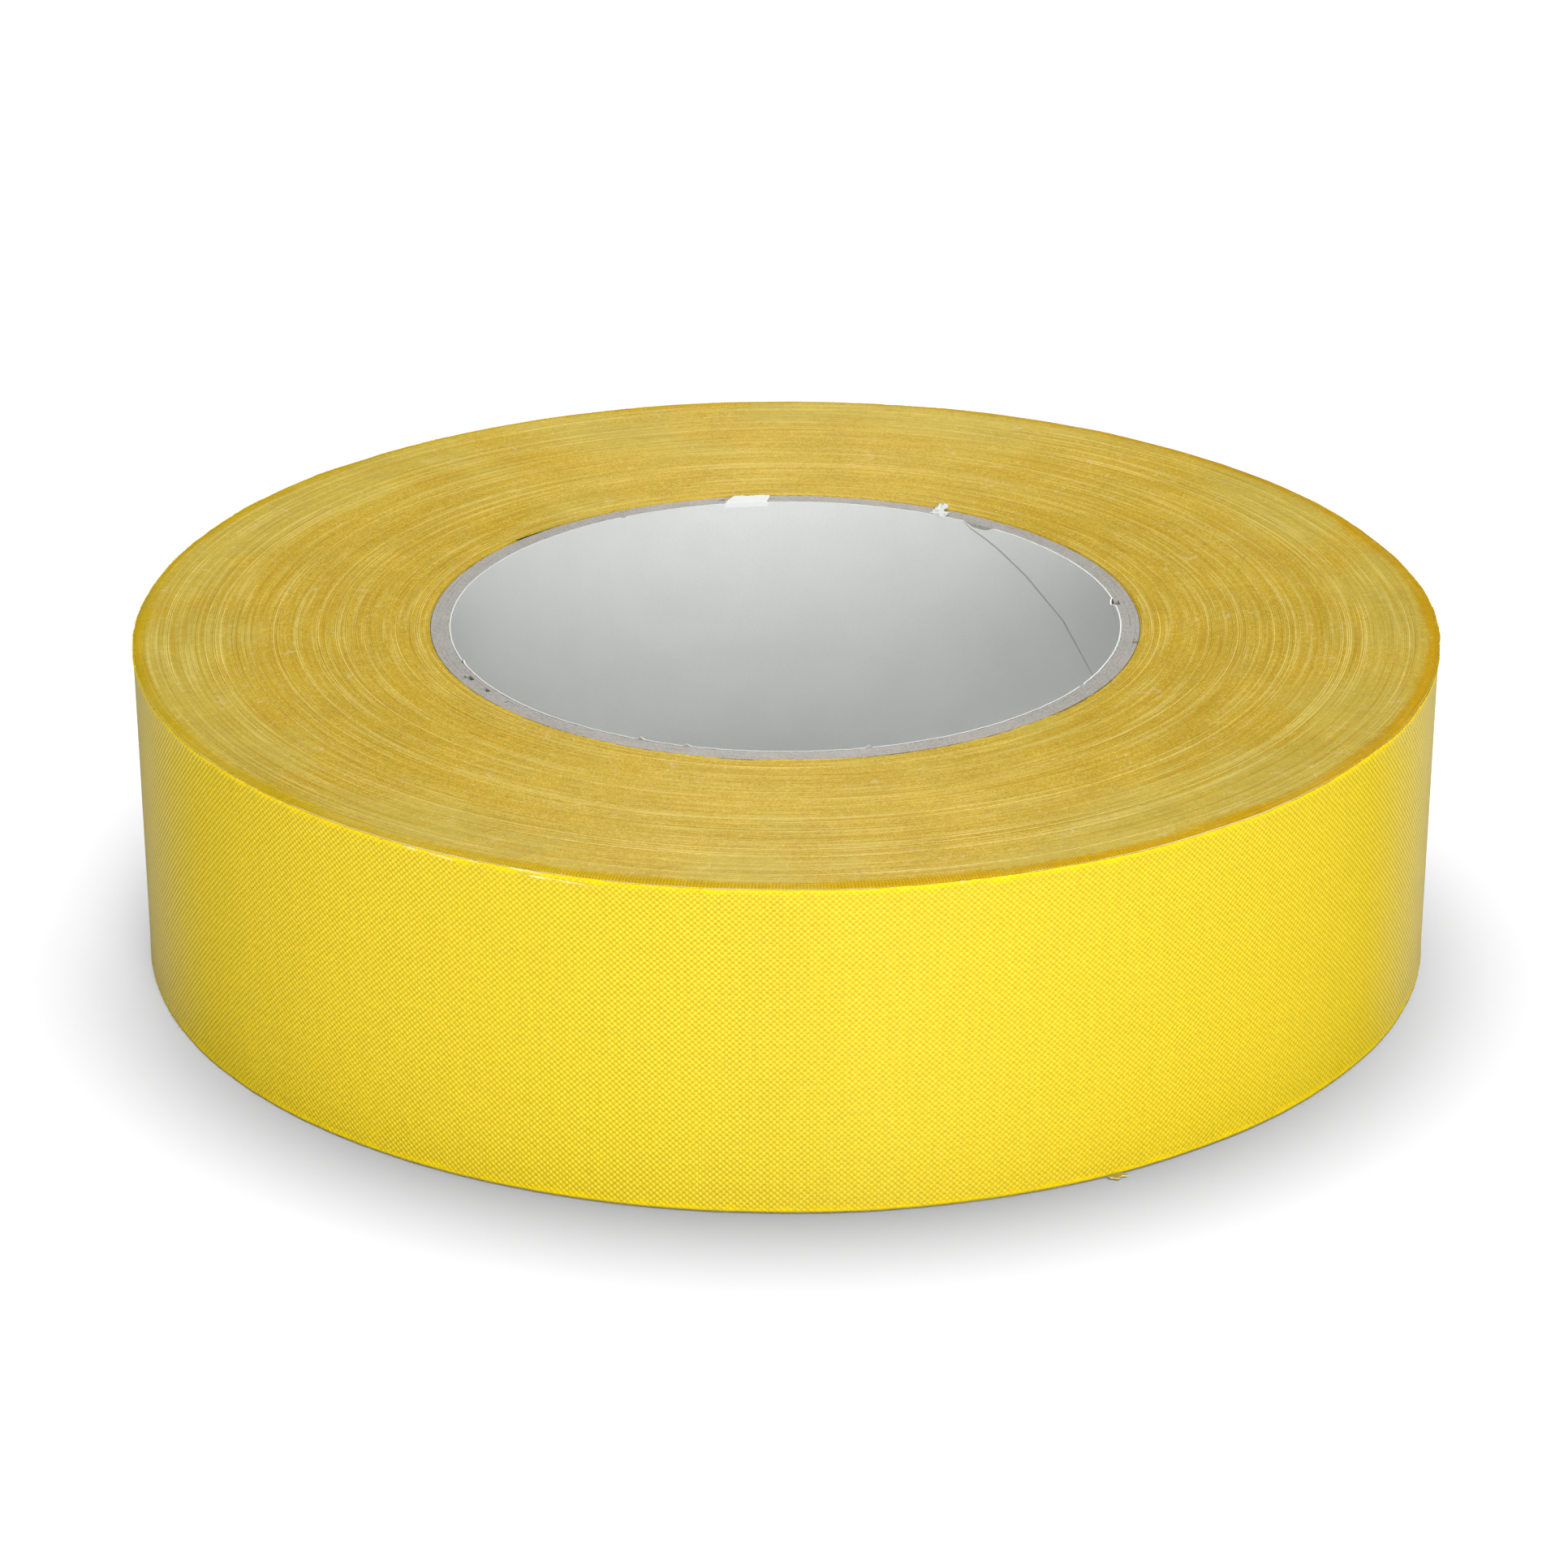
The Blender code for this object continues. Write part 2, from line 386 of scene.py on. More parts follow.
def cloth_material():
    """A plain weave, laid out in the strip's own flat measures so that it bends with the tape.
    The yarns that run round the roll are the plumper ones: where they pass on top, they stand
    higher and are glossier. Their crowns are painted lighter and the ground between them darker,
    as painted light and shade of that relief."""
    s = Shader("yellow_cloth_weave", 0.4, Specular_IOR_Level=0.35, Coat_Roughness=0.42)
    strip = s.attribute("strip")
    around, across, _ = s.axes(strip)
    u = s.math("MULTIPLY_ADD", s.grain(strip, 3 * MM, 2.0), 0.9,
               s.math("MULTIPLY", around, pi / YARN_AROUND))
    v = s.math("MULTIPLY_ADD", s.grain(strip, 5 * MM, 2.0), 0.9,
               s.math("MULTIPLY", across, pi / YARN_ACROSS))
    sin_u = s.math("SINE", u)
    over = s.math("MULTIPLY", sin_u, s.math("SINE", v))
    ridge = s.math("MULTIPLY_ADD", s.math("ABSOLUTE", sin_u), 0.16, s.math("MULTIPLY", over, 0.84))
    crown = s.ramp(ridge, -0.70, 0.85)
    # Painted light and shade: the crowns lighter, the ground between them darker.
    colour = s.mix(crown, CLOTH_GROUND, CLOTH_CROWN)
    uneven = s.grain(strip, 0.5 * MM, 2.0)
    slubs = s.grain(s.add("Mapping", {"Vector": strip, "Scale": (0.06, 1, 1)}), 0.4 * MM, 1.0)
    ribs = s.grain(s.add("Mapping", {"Vector": strip, "Scale": (1, 0.05, 1)}), 0.4 * MM, 1.0)
    tone = s.ramp(uneven, 0.25, 0.75, 0.95, 1.05)
    tone = s.math("MULTIPLY", tone, s.ramp(slubs, 0.25, 0.75, 0.98, 1.02))
    tone = s.math("MULTIPLY", tone, s.ramp(ribs, 0.25, 0.75, 0.98, 1.02))
    edge = s.math("MINIMUM", across, s.math("SUBTRACT", WIDTH, across))
    edge = s.math("MULTIPLY_ADD", s.grain(strip, 2.5 * MM, 2.0), -1.4 * MM, edge)
    rim = s.ramp(edge, -0.7 * MM, 0.4 * MM, 0.95, 0.0)
    # Along both rims the weave fades into a saturated yellow band: partly the cloth's own colour
    # there, partly a painted highlight of the upper lip catching light from above.
    colour = s.mix(rim, colour, CLOTH_RIM)
    # Painted shade: a dark line along the cloth's lowest 0.4 mm, where it meets the ground.
    colour = s.mix(s.ramp(across, 0.12 * MM, 0.42 * MM, 0.85, 0.0), colour, CLOTH_CONTACT_SHADE)
    # Painted sheen: the base colour turns paler towards grazing angles, except at the rims.
    facing = s.add("LayerWeight", {"Blend": 0.5}, 1)
    fuzz = s.math("MULTIPLY", s.ramp(facing, 0.60, 1.0, 0.0, 0.27), s.ramp(rim, 0.0, 0.8, 1.0, 0.0))
    colour = s.mix(fuzz, s.shade(colour, tone), CLOTH_FUZZ_SHEEN)
    height = s.math("MULTIPLY", ridge, s.ramp(rim, 0.0, 1.0, 1.0, 0.4))
    gloss = s.ramp(crown, 0.3, 1.0, 0.0, 0.8)
    s.tree.links.new(s.ramp(rim, 0.0, 0.5, 0.6, 0.0), s.surface.inputs["Coat Weight"])
    return s.finish(colour, height, 0.080 * MM, gloss=gloss)


EDGE_DARK = (0.435, 0.275, 0.010)
EDGE_MID = (0.56, 0.385, 0.040)
EDGE_STRAW = (0.68, 0.54, 0.155)
EDGE_LINE = (0.74, 0.585, 0.16)
EDGE_PALE = (0.66, 0.52, 0.27)
EDGE_BROWN = (0.46, 0.27, 0.012)
EDGE_OLIVE = (0.50, 0.405, 0.075)
EDGE_GOLD = (0.485, 0.325, 0.004)
EDGE_ORANGE = (0.50, 0.285, 0.001)


def cut_edge_material():
    """The slit edges of the turns: matted yarn ends, with lighter lines where an edge stands out,
    valleys between the turns darkened as painted shade, and a golden band of fresh yarn ends round the
    pack's outer corner. Where the turns run along Y they are painted a little darker, and where they
    run along X a little paler, as painted shade and sheen."""
    s = Shader("slit_tape_edges", 0.85, Specular_IOR_Level=0.12)
    place = s.place()
    crown = s.attribute("crown", "Fac")
    tone = s.attribute("tone", "Fac")
    felt = s.grain(place, 0.22 * MM, 3.0, 0.5, 0.7)
    tufts = s.grain(place, 0.8 * MM, 3.0, 0.8)
    patches = s.grain(place, 8 * MM, 3.0)
    cover = s.grain(place, 11 * MM, 3.0)
    hue = s.grain(place, 17 * MM, 2.0)
    dust = s.grain(place, 2.4 * MM, 4.0, 1.5, 0.65)
    x, y, _ = s.axes(place)
    from_axis = s.math("SQRT", s.math("MULTIPLY_ADD", x, x, s.math("MULTIPLY", y, y)))
    colour = s.mix(s.ramp(felt, 0.34, 0.56), EDGE_DARK, EDGE_MID)
    colour = s.mix(s.ramp(felt, 0.52, 0.70, 0.0, 0.75), colour, EDGE_STRAW)
    # Painted shade: the valleys between the turns' ridges are darkened.
    colour = s.mix(s.ramp(crown, 0.0, 0.7, 0.5, 0.0), colour, EDGE_DARK)
    outer_zone = s.ramp(from_axis, 58 * MM, 70 * MM, -0.10, 0.10)
    colour = s.mix(s.ramp(s.math("ADD", hue, outer_zone), 0.44, 0.66, 0.0, 0.55), colour, EDGE_OLIVE)
    line = s.math("MULTIPLY", s.ramp(tone, 0.25, 0.8), s.ramp(crown, 0.7, 1.0))
    line = s.math("MULTIPLY", line, s.ramp(cover, 0.35, 0.6, 0.35, 1.0))
    line = s.math("MULTIPLY", line, s.ramp(felt, 0.30, 0.55, 0.45, 1.0))
    colour = s.mix(line, colour, EDGE_LINE)
    turned = s.add("VectorMath", {0: place, "Scale": s.math("DIVIDE", 1.3 * MM, from_axis)},
                   operation="SCALE")
    ring_x, ring_y, _ = s.axes(turned)
    ring_place = s.add("CombineXYZ", {"X": ring_x, "Y": ring_y, "Z": from_axis})
    rings = s.grain(ring_place, 0.40 * MM, 2.0)
    colour = s.mix(s.ramp(rings, 0.52, 0.72, 0.0, 0.5), colour, EDGE_STRAW)
    colour = s.mix(s.ramp(rings, 0.48, 0.28, 0.0, 0.6), colour, EDGE_BROWN)
    colour = s.mix(s.ramp(dust, 0.60, 0.74, 0.0, 0.6), colour, EDGE_PALE)
    # Painted sheen and shade by side: paler where the turns run along X, darker where they run along
    # Y.
    painted_side_light = s.math("ABSOLUTE", s.math("DIVIDE", x, from_axis))
    colour = s.mix(s.ramp(painted_side_light, 0.1, 0.8, 0.10, 0.0), colour, EDGE_PALE)
    inside = s.math("MULTIPLY_ADD", tufts, 0.9 * MM, s.math("SUBTRACT", OUTER_RADIUS, from_axis))
    inside = s.math("MULTIPLY_ADD", hue, 1.5 * MM, inside)
    angle = s.math("ARCTAN2", y, x)
    stripes = s.math("SINE", s.math("MULTIPLY_ADD", angle, TURN * OUTER_RADIUS / YARN_AROUND,
                                    s.math("MULTIPLY", tufts, 5.0)))
    gold = s.mix(s.ramp(x, -60 * MM, 60 * MM), EDGE_GOLD, EDGE_ORANGE)
    gold = s.shade(gold, s.ramp(stripes, -1.0, 1.0, 0.88, 1.16))
    fresh = s.math("MULTIPLY", s.ramp(inside, 1.7 * MM, 3.0 * MM, 1.0, 0.0),
                   s.ramp(cover, 0.30, 0.60, 0.70, 1.0))
    colour = s.mix(fresh, colour, gold)
    light = s.math("MULTIPLY_ADD", tufts, 0.30, s.ramp(patches, 0.3, 0.7, 0.76, 0.84))
    # Painted shade: up to 5 % darker where the turns run along Y, 5 % lighter where they run along X.
    light = s.math("MULTIPLY", light, s.ramp(painted_side_light, 0.1, 0.95, 1.05, 0.95))
    height = s.math("MULTIPLY_ADD", felt, 0.6, s.math("MULTIPLY", tufts, 0.4))
    return s.finish(s.shade(colour, light), height, 0.14 * MM)


def adhesive_material(name, light):
    """Rubber adhesive: a tacky cream film that has taken the print of the cloth below it."""
    s = Shader(name, 0.35, Specular_IOR_Level=0.5)
    strip = s.attribute("strip")
    around, across, _ = s.axes(strip)
    print_u = s.math("SINE", s.math("MULTIPLY", around, TURN / YARN_AROUND))
    print_v = s.math("SINE", s.math("MULTIPLY", across, TURN / YARN_ACROSS))
    weave = s.math("MULTIPLY", print_u, print_v)
    mottle = s.grain(strip, 2.6 * MM, 5.0)
    streaks = s.grain(s.add("Mapping", {"Vector": strip, "Scale": (0.06, 1, 1)}), 0.6 * MM, 2.0)
    colour = s.mix(s.ramp(mottle, 0.3, 0.75), (0.60, 0.50, 0.25), (0.68, 0.58, 0.33))
    colour = s.mix(s.ramp(streaks, 0.5, 0.8, 0.0, 0.4), colour, (0.74, 0.66, 0.42))
    height = s.math("MULTIPLY_ADD", weave, 0.25, mottle)
    roughness = s.ramp(mottle, 0.3, 0.75, 0.28, 0.5)
    return s.finish(s.shade(colour, light), height, 0.03 * MM, roughness)


def board_material():
    """Raw recycled board: short grey fibres with flecks, painted darker where its rim runs along Y, as
    painted shade.
    """
    s = Shader("grey_recycled_board", 0.92)
    place = s.place()
    fibres = s.grain(s.add("Mapping", {"Vector": place, "Scale": (1, 1, 0.5)}), 0.22 * MM, 4.0, 0.8)
    flecks = s.grain(place, 0.35 * MM, 2.0, 0.3)
    patches = s.grain(place, 4 * MM, 2.0)
    colour = s.mix(s.ramp(fibres, 0.3, 0.72), (0.30, 0.282, 0.255), (0.435, 0.415, 0.38))
    colour = s.mix(s.ramp(flecks, 0.68, 0.74, 0.0, 0.5), colour, (0.62, 0.60, 0.56))
    colour = s.mix(s.ramp(flecks, 0.30, 0.25, 0.0, 0.25), colour, (0.13, 0.11, 0.10))
    colour = s.mix(s.ramp(patches, 0.4, 0.7, 0.0, 0.35), colour, (0.45, 0.415, 0.385))
    x, _, _ = s.axes(place)
    # Painted shade: down to 84 % where the rim runs along Y.
    painted_side_light = s.math("ABSOLUTE", s.math("DIVIDE", x, BORE_RADIUS))
    colour = s.shade(colour, s.ramp(painted_side_light, 0.1, 0.95, 1.0, 0.84))
    return s.finish(colour, fibres, 0.04 * MM)


def liner_material(name, light):
    """White lining paper, with faint fibres and specks. A dark line along its seam is painted shade
    of the butt gap. It gets lighter towards the lower side and towards +X, which stands in for light
    from the room."""
    s = Shader(name, 0.5)
    place = s.place()
    fibres = s.grain(place, 0.25 * MM, 3.0, 1.2)
    clouds = s.grain(place, 5 * MM, 3.0)
    specks = s.grain(place, 0.3 * MM, 1.0)
    colour = s.mix(s.ramp(clouds, 0.3, 0.7), (0.655, 0.672, 0.65), (0.67, 0.687, 0.665))
    colour = s.shade(colour, light)
    colour = s.mix(s.ramp(specks, 0.78, 0.84, 0.0, 0.5), colour, (0.45, 0.45, 0.42))
    colour = s.shade(colour, s.math("MULTIPLY_ADD", fibres, 0.10, 0.95))
    x, _, level = s.axes(place)
    colour = s.shade(colour, s.ramp(level, 0.0, WIDTH, 1.14, 0.94))
    colour = s.shade(colour, s.ramp(x, -BORE_RADIUS, BORE_RADIUS, 0.95, 1.09))
    # Painted shade of the butt gap: darker within 0.35 mm of the seam.
    from_seam, _, _ = s.axes(s.attribute("strip"))
    colour = s.shade(colour, s.ramp(from_seam, 0.08 * MM, 0.35 * MM, 0.66, 1.0))
    roughness = s.ramp(clouds, 0.3, 0.7, 0.42, 0.6)
    return s.finish(colour, fibres, 0.02 * MM, roughness)


def fibre_material(name, dark, light):
    s = Shader(name, 0.7)
    tint = s.grain(s.place(), 0.8 * MM, 2.0)
    return s.finish(s.mix(s.ramp(tint, 0.35, 0.65), dark, light), tint, 0.01 * MM)


CLOTH = cloth_material()
CUT_EDGES = cut_edge_material()
ADHESIVE = adhesive_material("rubber_adhesive_film", 1.0)
# Painted shade: the first turn's adhesive is darkened to 15 %, so that the narrow gap where the tape
# climbs over its start end looks dark.
SHADED_ADHESIVE = adhesive_material("rubber_adhesive_on_core", 0.15)
BOARD = board_material()
LINER = liner_material("white_lining_paper", 0.96)
LINER_EDGE = liner_material("white_lining_paper_torn", 1.08)
YELLOW_FIBRE = fibre_material("loose_yellow_fibre", (0.62, 0.44, 0.03), (0.80, 0.62, 0.10))
CREAM_FIBRE = fibre_material("loose_cream_fibre", (0.78, 0.60, 0.09), (0.86, 0.73, 0.24))
PAPER_FIBRE = fibre_material("loose_paper_fibre", (0.55, 0.54, 0.50), (0.78, 0.78, 0.76))


# The core.

TEARS = [  # in the liner's upper rim: angle in degrees, half width in degrees, depth
    (53.1, 3.6, 0.55 * MM),
    (8.6, 1.0, 0.35 * MM),
    (120.0, 0.8, 0.15 * MM),
    (330.0, 1.0, 0.2 * MM),
]
BURRS = [  # of the liner's upper rim, which stand up: the same, with negative depths
    (199.3, 0.6, -0.30 * MM),
    (245.7, 0.5, -0.28 * MM),
    (253.8, 0.7, -0.22 * MM),
    (283.7, 0.5, -0.30 * MM),
]
SPLITS = {  # where a ply's upper rim has broken away: the same, by the ply's number
    1: [(8.6, 0.9, 0.7 * MM)],
    2: [(205.8, 1.0, 0.9 * MM), (211.8, 0.8, 0.8 * MM)],
    3: [(101.0, 1.0, 0.15 * MM), (204.9, 0.5, 0.4 * MM)],
    4: [(351.1, 0.7, 0.6 * MM)],
}
PEELS = [(8.6, 2.0, 0.32 * MM)]  # where the liner's rim stands clear of the board: the same


def worn_away(angle, marks):
    """How much of a rim is missing at this angle."""
    missing = np.zeros(np.shape(angle))
    for centre, half_width, depth in marks:
        off = (angle - radians(centre) + pi) % TURN - pi
        share = 1 - step_up(abs(off), 0.3 * radians(half_width), radians(half_width))
        missing = np.where(abs(depth) * share > abs(missing), depth * share, missing)
    return missing


def core_layer(name, node, seam_angle, materials, marks, rough, seed, proud=0.0, peels=()):
    """A ply of the core: a strip of paper or board wound into a tube, with its edges butted
    along a helical seam. rough is how uneven its cut rims are."""
    inner_radius, outer_radius = radii(node)
    columns, rows = 1081, 19
    height = rim_rows(rows, 3.0)[:, None]
    gap = BUTT_GAP / inner_radius
    seam = seam_angle + SEAM_TURN * height / WIDTH
    angle = seam + np.linspace(gap / 2, TURN - gap / 2, columns)[None, :]
    ragged = round_drift(angle, 700, seed) * 0.6 + round_drift(angle, 230, seed + 1) * 0.4
    upper = height > WIDTH / 2
    cut = rough * (0.5 + 0.5 * ragged) + np.where(upper, worn_away(angle, marks) - proud, 0)
    settled = height + np.where(upper, -cut, cut) * np.exp(-to_rim(height) / (0.9 * MM))
    wave = 0.02 * MM * round_drift(angle, 40, seed + 2)
    near = np.exp(-to_rim(height) / (0.25 * MM))
    soft = near * rough * 0.25 * round_drift(angle, 500, seed + 3)
    away = np.where(upper, worn_away(angle, peels), 0) * np.exp(-to_rim(height) / (0.8 * MM))
    outside = placed(angle, outer_radius + wave + soft - away, settled)
    inside = placed(angle, inner_radius + wave + soft - away, settled)
    part = np.linspace(0, 1, columns)[None, :]
    from_seam = TURN * inner_radius * np.minimum(part, 1 - part)
    strip = np.stack(np.broadcast_arrays(from_seam, height, 0.0), -1)
    made = slab(name, outside, inside, materials, strip, sharp=50)
    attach(made, "roll")
    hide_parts(node)
    return made


def build_core():
    made = core_layer(
        "core_lining",
        "core_liner",
        LINER_SEAM_ANGLE,
        [BOARD, LINER, LINER_EDGE],
        TEARS + BURRS,
        0.06 * MM,
        11,
        0.07 * MM,
        PEELS,
    )
    for number, splits in SPLITS.items():
        made = core_layer(
            f"core_board_{number}",
            f"core_ply_{number}",
            LINER_SEAM_ANGLE + number * PLY_SEAM_STEP,
            [BOARD] * 3,
            splits,
            0.06 * MM,
            20 + 5 * number,
        )


def far_from_seam(rows, columns):
    """A grid of flat places for a scrap of the lining: a metre from the seam, so without its line."""
    return np.ones((rows, columns, 3))


def folded_lining(name, inner_ends, outer_ends, reach, seed):
    """A tongue of the lining that was torn at the bore's rim and folded out over the board."""
    rows, columns = 15, 41
    part = np.linspace(0, 1, rows)[:, None]
    round_part = np.linspace(0, 1, columns)[None, :]
    up = np.clip(part / 0.3, 0, 1)
    over = np.clip((part - 0.3) / 0.7, 0, 1)
    start, end = (radians(a) + radians(b - a) * over for a, b in zip(inner_ends, outer_ends))
    angle = start + (end - start) * round_part
    angle = angle + radians(0.12) * drift(part * 4 + np.round(round_part), 0.25, seed)
    torn = 1 - 0.10 * np.abs(drift(round_part, 0.07, seed + 1))
    out = BORE_RADIUS - 0.05 * MM + reach * over * torn
    rise = 0.08 * np.sin(pi / 2 * up) - 0.45 * (1 - up) + 0.05 * over * over
    level = WIDTH + MM * (rise + 0.03 * over * drift(round_part + over, 0.2, seed + 2))
    over_side = placed(angle, out - 0.03 * MM * (1 - over), level + 0.04 * MM * up)
    under_side = placed(angle, out + 0.03 * MM * (1 - over), level - 0.03 * MM * up)
    made = slab(name, under_side, over_side, [LINER_EDGE] * 3, far_from_seam(rows, columns))
    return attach(made, "roll")


def paper_scrap(name, corner_angles, radius, lift, curl, seed):
    """A torn bit of the lining that lies folded over the rim of the board."""
    rows, columns = 9, 25
    across = np.linspace(0, 1, rows)[:, None]
    round_part = np.linspace(0, 1, columns)[None, :]
    start, end = (radians(value) for value in corner_angles)
    angle = start + (end - start) * (round_part + 0.12 * (across - 0.5))
    angle = angle + radians(0.25) * drift(round_part * 3 + across * 5, 0.3, seed)
    torn = 1 - 0.22 * np.abs(drift(round_part, 0.09, seed + 1))
    out = radius[0] + (radius[1] - radius[0]) * across * torn
    rise = lift + curl * across * across + 0.05 * MM * drift(round_part + across, 0.2, seed + 2)
    over = placed(angle, out, WIDTH + rise + 0.05 * MM)
    under = placed(angle, out, WIDTH + rise - 0.04 * MM)
    made = slab(name, under, over, [LINER] * 3, far_from_seam(rows, columns))
    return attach(made, "roll")


def build_paper_scraps():
    board = radii("core_ply_4")[1]
    folded_lining("torn_lining_back", (101.0, 93.2), (99.0, 92.6), board - BORE_RADIUS, 31)
    paper_scrap("torn_lining_tuft", (63.2, 61.4), (BORE_RADIUS + 0.2 * MM, board + 0.3 * MM),
                0.12 * MM, 0.45 * MM, 37)
    paper_scrap("torn_lining_tuft_low", (61.6, 60.2), (BORE_RADIUS - 0.2 * MM, board - 0.9 * MM),
                0.05 * MM, 0.15 * MM, 41)


# The tape.

WALL_ROWS = 21


def corner_drop(along, radius):
    """How far the pack's rounded outer corner lies below the side's plane."""
    wide = (1.25 + 0.40 * round_drift(along, 34, 53)) * MM
    part = np.clip(1 - (OUTER_RADIUS - radius) / wide, 0, 1)
    return (0.40 + 0.10 * round_drift(along, 57, 54)) * MM * part * part


def rim_drop(along, radius, seed):
    """How far below the side's plane the cloth's slit edge lies."""
    own = 0.05 * MM * drift(along, 0.21, seed) + 0.04 * MM * drift(along, 0.05, seed + 1)
    return 0.05 * MM + own + corner_drop(along, radius)


def cloth_strip(name, nodes, start, end, body=None, blend=None):
    """The cloth of one stretch of the tape, as a closed sheet. Its yarns show at both rims."""
    length = tape_length(end) - tape_length(start)
    columns = 2 * round(length / YARN_AROUND) + 1
    along = np.linspace(start, end, columns)[None, :]
    height = rim_rows(WALL_ROWS)[:, None]
    run = tape_length(along)
    near = np.exp(-to_rim(height) / (0.16 * MM))
    yarn = np.floor(run / YARN_AROUND)
    crown = np.where(np.arange(columns) % 2 == 0, 1.0, -1.0)[None, :]
    end_length = drift(yarn, 1.0, 61) * 0.6 + 0.4 * crown
    radius = winding_radius(along) + ADHESIVE_THICKNESS
    frayed = near * (0.020 * MM * crown + 0.03 * MM * drift(yarn, 1.0, 64))
    outer = radius + TAPE_THICKNESS - ADHESIVE_THICKNESS + frayed - near * 0.05 * MM
    upper = height > WIDTH / 2
    trim = np.where(upper, rim_drop(along, radius, 65), -rim_drop(along, radius, 67) * 0.4)
    fringe = np.where(upper, 0.05 * MM, -0.03 * MM) * end_length
    settled = np.maximum(height - (trim - fringe) * near, 0.01 * MM)
    strip = np.stack(np.broadcast_arrays(run, height, 0.0), -1)
    made = slab(name, wound(along, outer, settled), wound(along, radius, settled),
                [CLOTH, CLOTH, CUT_EDGES], strip, sharp=60)
    return tape_piece(made, nodes, body, blend)


def adhesive_strip(name, nodes, start, end, body=None, blend=None, inset=0.2 * MM, film=ADHESIVE):
    """The adhesive on one stretch of the tape, a little narrower than the cloth."""
    columns = max(13, round((end - start) / radians(0.5)) + 1)
    along = np.linspace(start, end, columns)[None, :]
    height = (inset + rim_rows(WALL_ROWS) * (1 - 2 * inset / WIDTH))[:, None]
    radius = winding_radius(along)
    lumps = 0.008 * MM * drift(along * 900 + height * 900, 1.0, 71)
    gap = 0.004 * MM
    strip = np.stack(np.broadcast_arrays(tape_length(along), height, 0.0), -1)
    outside = wound(along, radius + ADHESIVE_THICKNESS - gap, height)
    inside = wound(along, radius + gap + abs(lumps), height)
    made = slab(name, outside, inside, [film, film, CUT_EDGES if film is ADHESIVE else film], strip)
    return tape_piece(made, nodes, body, blend)


def tape_piece(made, nodes, body, blend):
    if blend:
        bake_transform(made)
    else:
        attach(made, body)
    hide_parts(nodes)
    return made


def build_first_turn():
    adhesive_strip("first_adhesive", "first_turn_adhesive", 0, TURN, "roll",
                   inset=0.06 * MM, film=SHADED_ADHESIVE)
    cloth = cloth_strip("first_cloth", "first_turn_cloth", 0, TURN, "roll")


def build_outer_turn():
    start = PEEL_LINE - TURN
    adhesive_strip("outer_adhesive", "outer_turn_adhesive", start, PEEL_LINE, "roll")
    cloth = cloth_strip("outer_cloth", "outer_turn_cloth", start, PEEL_LINE, "roll")


def build_free_end():
    """Each link's stretch of tape, as a piece of its own, left where the links rest; nothing ties it
    to its link.
    """
    bodies = ["roll"] + [joint["child"] for joint in frame["joints"]]
    tip_radius = winding_radius(TIP) + TAPE_THICKNESS
    stops = HINGES + [Vector(placed(START_ANGLE + TIP, tip_radius, WIDTH / 2))]
    for number, start in enumerate(HINGES_ALONG, 1):
        end = start + LINK_ARC
        turns_with = (*bodies[number - 1 : number + 1], stops[number - 1], stops[number])
        adhesive_strip(f"free_adhesive_{number}", f"free_end_adhesive_{number}", start, end,
                       blend=turns_with)
        cloth = cloth_strip(f"free_cloth_{number}", f"free_end_cloth_{number}", start, end,
                            blend=turns_with)


# The cut edges of the wound turns, on both sides of the roll.

PER_TURN = 360  # rows of points round one turn


def edge_tone(along, radius):
    """How much a turn's edge stands out light, from -1 to 1. Light turns come in loose groups."""
    own = drift(along, 1.37, 81)
    group = drift(radius, 0.9 * MM, 82)
    return np.clip(0.85 * own + 0.45 * group, -1, 1)


def edge_height(along, radius, tone, side_seed):
    """How far a turn's edge stands out of the side's plane."""
    shoulder = -corner_drop(along, radius)
    bands = 0.05 * MM * drift(radius, 2.3 * MM, side_seed)
    sway = 0.04 * MM * drift(along, 0.9, side_seed + 1)
    jitter = 0.012 * MM * drift(along, 0.03, side_seed + 2)
    proud = 0.035 * MM * step_up(tone, 0.3, 0.9)
    return shoulder + bands + sway + jitter + proud


